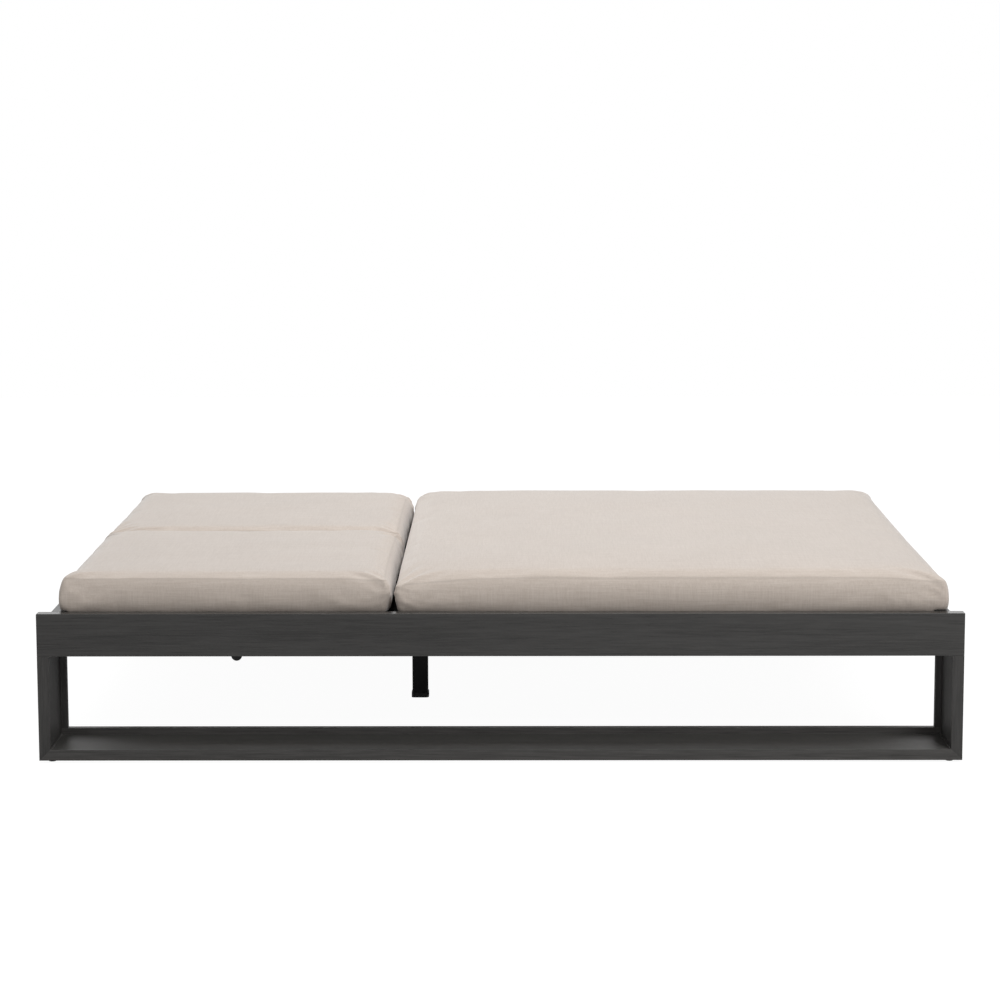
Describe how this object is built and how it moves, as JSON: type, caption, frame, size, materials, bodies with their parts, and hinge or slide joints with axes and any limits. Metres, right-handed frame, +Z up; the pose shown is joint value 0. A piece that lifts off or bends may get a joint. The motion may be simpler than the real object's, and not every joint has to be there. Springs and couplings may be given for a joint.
{
  "type": "double chaise lounger",
  "caption": "Wide patio lounger for two: box frame on side loops, one seat cushion, and two hinged backs with their own cushions and notched props.",
  "frame": {"origin": "on the ground, under the middle of the frame's length and width", "axes": "+X from the head end to the foot end, -Y the front long side, +Z up"},
  "size_m": [2.032, 1.422, 0.4302],
  "materials": {
    "frame_grey": "dark grey powder coat with a brushed wood-grain streak",
    "support_black": "satin black powder coat",
    "black_plastic": "moulded black plastic",
    "pad_rubber": "soft black rubber",
    "zinc_steel": "zinc plated",
    "cushion_fabric": "woven taupe linen-look outdoor cloth"
  },
  "bodies": {
    "base": {"front_top_rail": "frame_grey", "front_lower_rail": "frame_grey", "front_head_leg": "frame_grey", "front_foot_leg": "frame_grey", "rear_top_rail": "frame_grey", "rear_lower_rail": "frame_grey", "rear_head_leg": "frame_grey", "rear_foot_leg": "frame_grey", "head_cross_rail": "frame_grey", "foot_cross_rail": "frame_grey", "corner_plates": "support_black", "corner_bolts": "zinc_steel", "foot_glides": "black_plastic", "hinge_beam": "frame_grey", "hinge_trays": "support_black", "seat_centre_beam": "frame_grey", "back_centre_beam": "frame_grey", "front_seat_ledge": "frame_grey", "rear_seat_ledge": "frame_grey", "seat_slats": "frame_grey", "seat_slat_screws": "zinc_steel", "centre_leg": "support_black", "centre_leg_plate": "support_black", "centre_leg_screws": "zinc_steel", "centre_leg_foot": "black_plastic", "head_rest_ledge": "frame_grey", "rest_pads": "pad_rubber", "hinge_ears": "support_black", "hinge_pins": "zinc_steel", "front_outer_rack": "support_black", "front_inner_rack": "support_black", "rear_outer_rack": "support_black", "rear_inner_rack": "support_black", "rack_screws": "zinc_steel", "seat_cushion": "cushion_fabric"},
    "front_back": {"front_back_stiles": "frame_grey", "front_back_head_rail": "frame_grey", "front_back_hinge_rail": "frame_grey", "front_back_slats": "frame_grey", "front_back_hinge_lugs": "support_black", "front_back_prop_brackets": "support_black", "front_back_prop_pins": "zinc_steel"},
    "front_prop": {"front_prop_arms": "support_black", "front_prop_spreader": "support_black", "front_prop_foot_bar": "support_black", "front_prop_foot_sleeves": "black_plastic"},
    "front_back_pad": {"front_back_cushion": "cushion_fabric"},
    "rear_back": {"rear_back_stiles": "frame_grey", "rear_back_head_rail": "frame_grey", "rear_back_hinge_rail": "frame_grey", "rear_back_slats": "frame_grey", "rear_back_hinge_lugs": "support_black", "rear_back_prop_brackets": "support_black", "rear_back_prop_pins": "zinc_steel"},
    "rear_prop": {"rear_prop_arms": "support_black", "rear_prop_spreader": "support_black", "rear_prop_foot_bar": "support_black", "rear_prop_foot_sleeves": "black_plastic"},
    "rear_back_pad": {"rear_back_cushion": "cushion_fabric"}
  },
  "joints": [
    {"name": "front_recline", "type": "hinge", "parent": "base", "child": "front_back", "pos_m": [-0.237, 0, 0.301], "axis": [0, 1, 0], "range_deg": [0, 60]},
    {"name": "front_prop_swing", "type": "hinge", "parent": "front_back", "child": "front_prop", "pos_m": [-0.58399, 0, 0.229], "axis": [0, 1, 0], "range_deg": [-120, 0]},
    {"name": "front_pad_slide", "type": "slide", "parent": "front_back", "child": "front_back_pad", "axis": [-1, 0, 0], "range_m": [0, 0.0943]},
    {"name": "rear_recline", "type": "hinge", "parent": "base", "child": "rear_back", "pos_m": [-0.237, 0, 0.301], "axis": [0, 1, 0], "range_deg": [0, 60]},
    {"name": "rear_prop_swing", "type": "hinge", "parent": "rear_back", "child": "rear_prop", "pos_m": [-0.58399, 0, 0.229], "axis": [0, 1, 0], "range_deg": [-120, 0]},
    {"name": "rear_pad_slide", "type": "slide", "parent": "rear_back", "child": "rear_back_pad", "axis": [-1, 0, 0], "range_m": [0, 0.0943]}
  ],
  "couplings": [
    {"joint": "front_prop_swing", "follows": "front_recline", "ratio": -2},
    {"joint": "front_pad_slide", "follows": "front_recline", "m_per_rad": 0.09},
    {"joint": "rear_prop_swing", "follows": "rear_recline", "ratio": -2},
    {"joint": "rear_pad_slide", "follows": "rear_recline", "m_per_rad": 0.09}
  ]
}
